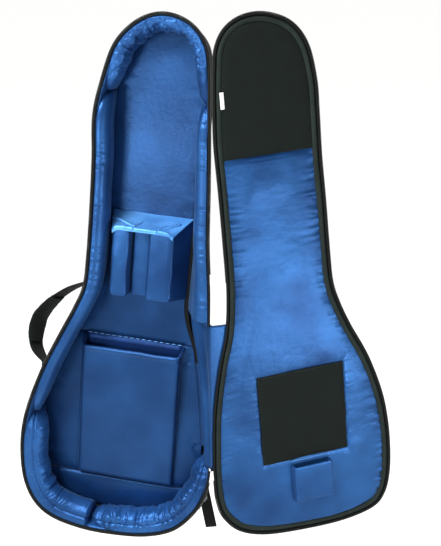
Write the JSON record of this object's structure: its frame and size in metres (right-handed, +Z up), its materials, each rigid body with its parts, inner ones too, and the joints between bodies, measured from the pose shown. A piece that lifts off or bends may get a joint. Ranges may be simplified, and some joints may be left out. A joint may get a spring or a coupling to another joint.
{
  "type": "padded gig bag",
  "caption": "Upright padded guitar bag, hinged lid swung open, satin-lined tray with neck rest, bolsters, box pockets, side handle and shoulder straps.",
  "frame": {"origin": "where the hanging loop meets its tab, behind the head of the tray", "axes": "+Z up towards the head, the tray opens towards -Y, +X from the tray towards the lid"},
  "size_m": [0.7537, 0.2065, 1.1077],
  "materials": {
    "satin_lining": "satin",
    "shell_fabric": "matte",
    "binding": "matte",
    "webbing": "matte",
    "foam": "matte",
    "zip_tape": "matte",
    "zip_metal": "polished",
    "label": "matte",
    "buckle": "matte"
  },
  "bodies": {
    "tray": {"side_wall_head": "shell_fabric", "side_wall_neck": "shell_fabric", "side_wall_bout": "shell_fabric", "side_wall_foot": "shell_fabric", "side_wall_foot_corner": "shell_fabric", "side_wall_near": "shell_fabric", "hinge_gusset": "satin_lining", "back_panel": "shell_fabric", "rim_binding_tray": "binding", "zip_coil_tray": "zip_tape", "head_bolster": "satin_lining", "wall_pad_far": "satin_lining", "wall_pad_near": "satin_lining", "foot_bolster_far": "satin_lining", "foot_bolster_near": "satin_lining", "floor_pad_neck": "satin_lining", "floor_pad_body": "satin_lining", "floor_pad_foot": "satin_lining", "neck_rest_rail_far": "satin_lining", "neck_rest_rail_near": "satin_lining", "neck_rest_channel": "satin_lining", "document_pocket": "satin_lining", "back_contact_pad": "shell_fabric", "strap_yoke": "shell_fabric", "hang_loop_tab": "webbing", "strap_near_anchor": "webbing", "strap_far_anchor": "webbing", "handle_anchor_upper": "webbing", "handle_anchor_lower": "webbing"},
    "lid": {"lid_back_skin": "shell_fabric", "lid_edge_wall": "shell_fabric", "lid_foam": "foam", "lid_lining": "satin_lining", "lid_headstock_patch": "shell_fabric", "lid_bridge_patch": "shell_fabric", "lid_binding": "binding", "lid_piping": "binding", "zip_coil_lid": "zip_tape", "lid_gusset": "satin_lining", "accessory_pocket": "satin_lining", "label_tag": "label"},
    "handle": {"handle_webbing_upper": "webbing", "handle_webbing_lower": "webbing", "handle_grip": "shell_fabric"},
    "hang_loop": {"hang_loop": "webbing"},
    "strap_near": {"strap_near_pad": "shell_fabric", "strap_near_webbing": "webbing", "strap_near_lower_webbing": "webbing", "ladder_lock_near": "buckle"},
    "strap_far": {"strap_far_pad": "shell_fabric", "strap_far_webbing": "webbing", "strap_far_lower_webbing": "webbing", "ladder_lock_far": "buckle"},
    "tail_near": {"tail_near": "webbing"},
    "tail_far": {"tail_far": "webbing"},
    "zip_slider": {"zip_slider": "zip_metal"},
    "slider_pull": {"slider_pull": "zip_metal"}
  },
  "joints": [
    {"name": "lid_hinge", "type": "hinge", "parent": "tray", "child": "lid", "pos_m": [0.1078, -0.1108, -0.6745], "axis": [0, 0, 1], "range_deg": [-209, 0]},
    {"name": "handle_swing", "type": "hinge", "parent": "tray", "child": "handle", "pos_m": [-0.19784, -0.0608, -0.53235], "axis": [-0.4644, 0, -0.8856], "range_deg": [-55, 8]},
    {"name": "hang_loop_swing", "type": "hinge", "parent": "tray", "child": "hang_loop", "pos_m": [0, 0, 0], "axis": [0.9962, 0, -0.0872], "range_deg": [0, 150]},
    {"name": "strap_near_swing", "type": "hinge", "parent": "tray", "child": "strap_near", "pos_m": [0.0248, 0.0012, -0.1245], "axis": [-0.0207, -0.0083, -0.9998], "range_deg": [-12, 12]},
    {"name": "strap_far_swing", "type": "hinge", "parent": "tray", "child": "strap_far", "pos_m": [-0.0462, 0.0012, -0.1245], "axis": [-0.2168, -0.0081, -0.9762], "range_deg": [-12, 12]},
    {"name": "tail_near_swing", "type": "hinge", "parent": "strap_near", "child": "tail_near", "pos_m": [0.0134, 0.02455, -0.6755], "axis": [0.9816, 0, 0.1908], "range_deg": [0, 50]},
    {"name": "tail_far_swing", "type": "hinge", "parent": "strap_far", "child": "tail_far", "pos_m": [-0.16856, 0.02455, -0.6755], "axis": [1, 0, 0], "range_deg": [0, 50]},
    {"name": "zip_travel", "type": "slide", "parent": "tray", "child": "zip_slider", "axis": [-0.4084, 0, -0.9128], "range_m": [0, 0.02]},
    {"name": "pull_tilt", "type": "hinge", "parent": "zip_slider", "child": "slider_pull", "pos_m": [0.08755, -0.102, -0.87877], "axis": [0, -1, 0], "range_deg": [0, 75]}
  ]
}
